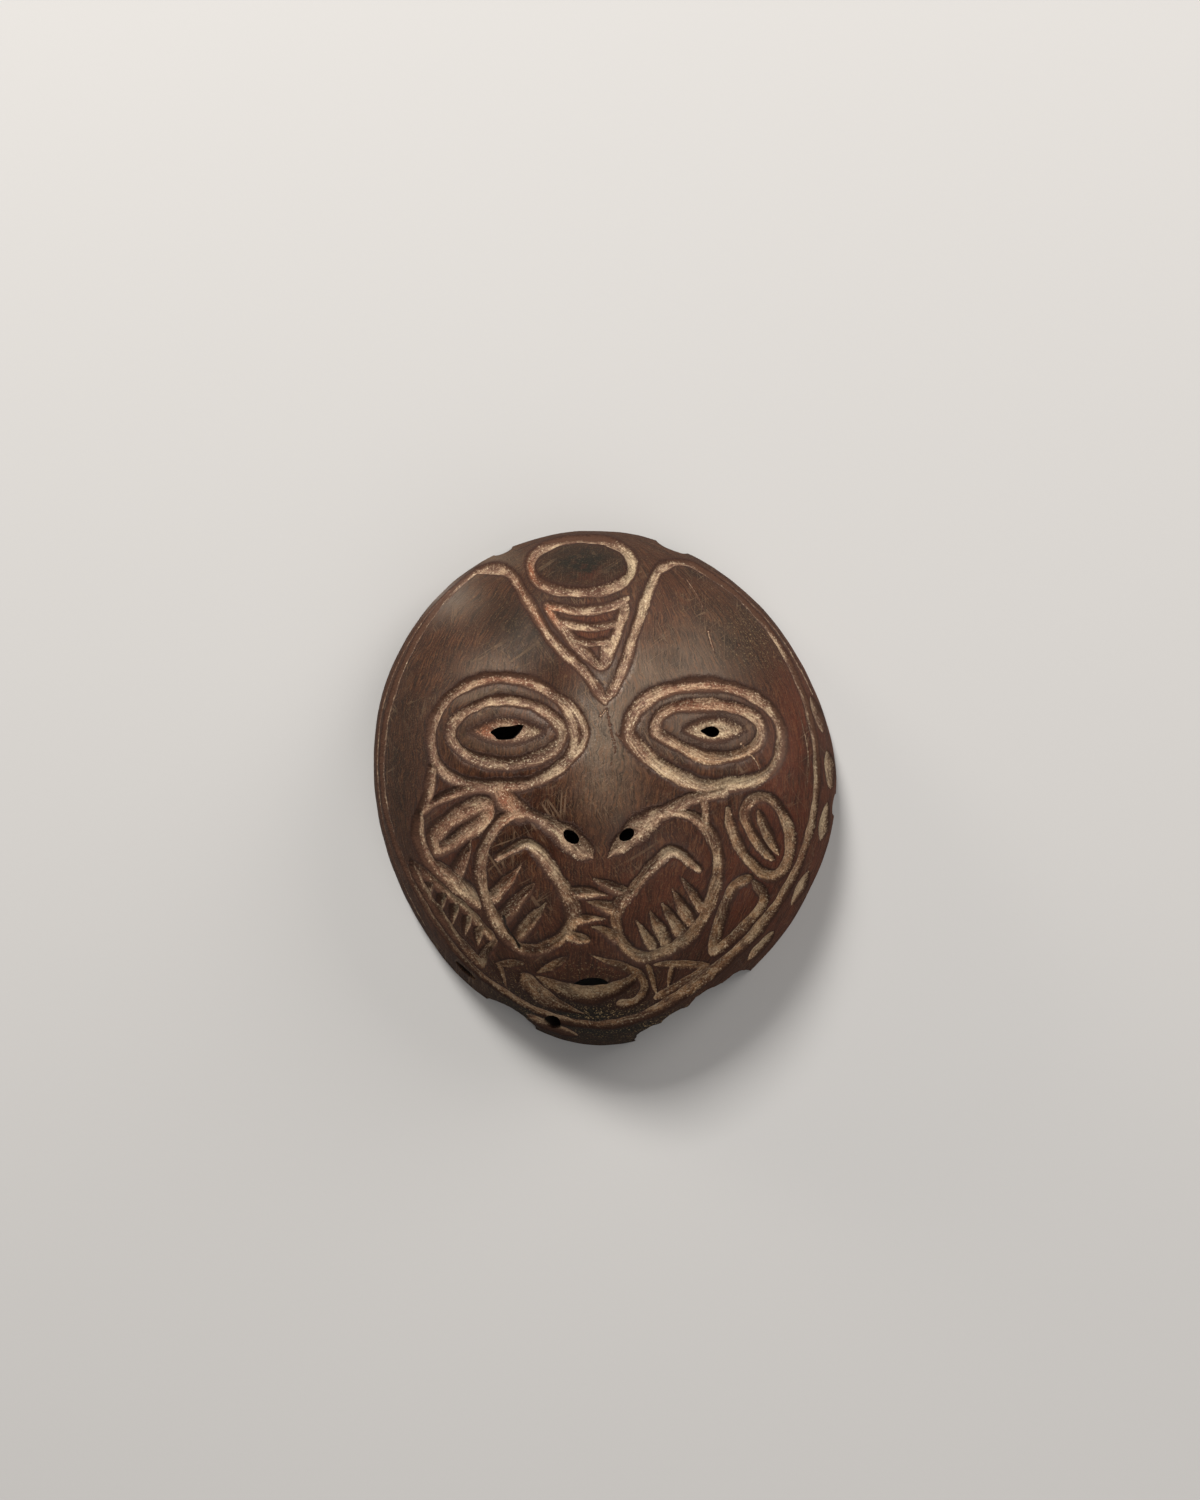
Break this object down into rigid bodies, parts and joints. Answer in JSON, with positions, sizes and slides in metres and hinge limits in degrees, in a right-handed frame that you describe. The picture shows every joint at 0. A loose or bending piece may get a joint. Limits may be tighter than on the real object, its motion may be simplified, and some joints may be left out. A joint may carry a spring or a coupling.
{
  "type": "coconut shell mask",
  "caption": "Half coconut shell carved as a face mask, with gouged spirals, toothed jaws, pierced eyes, nostrils and mouth, lying face up on its rim.",
  "frame": {"origin": "under the middle of the sawn rim, on the surface that the mask lies on", "axes": "+Z out of the face, +Y to the crown, +X to the viewer's right"},
  "size_m": [0.1159, 0.1289, 0.0491],
  "materials": {
    "coconut_shell": "polished dark brown coconut shell with pale ochre rubbed into the gouged lines"
  },
  "bodies": {
    "root": {"mask_shell": "coconut_shell"}
  },
  "joints": []
}
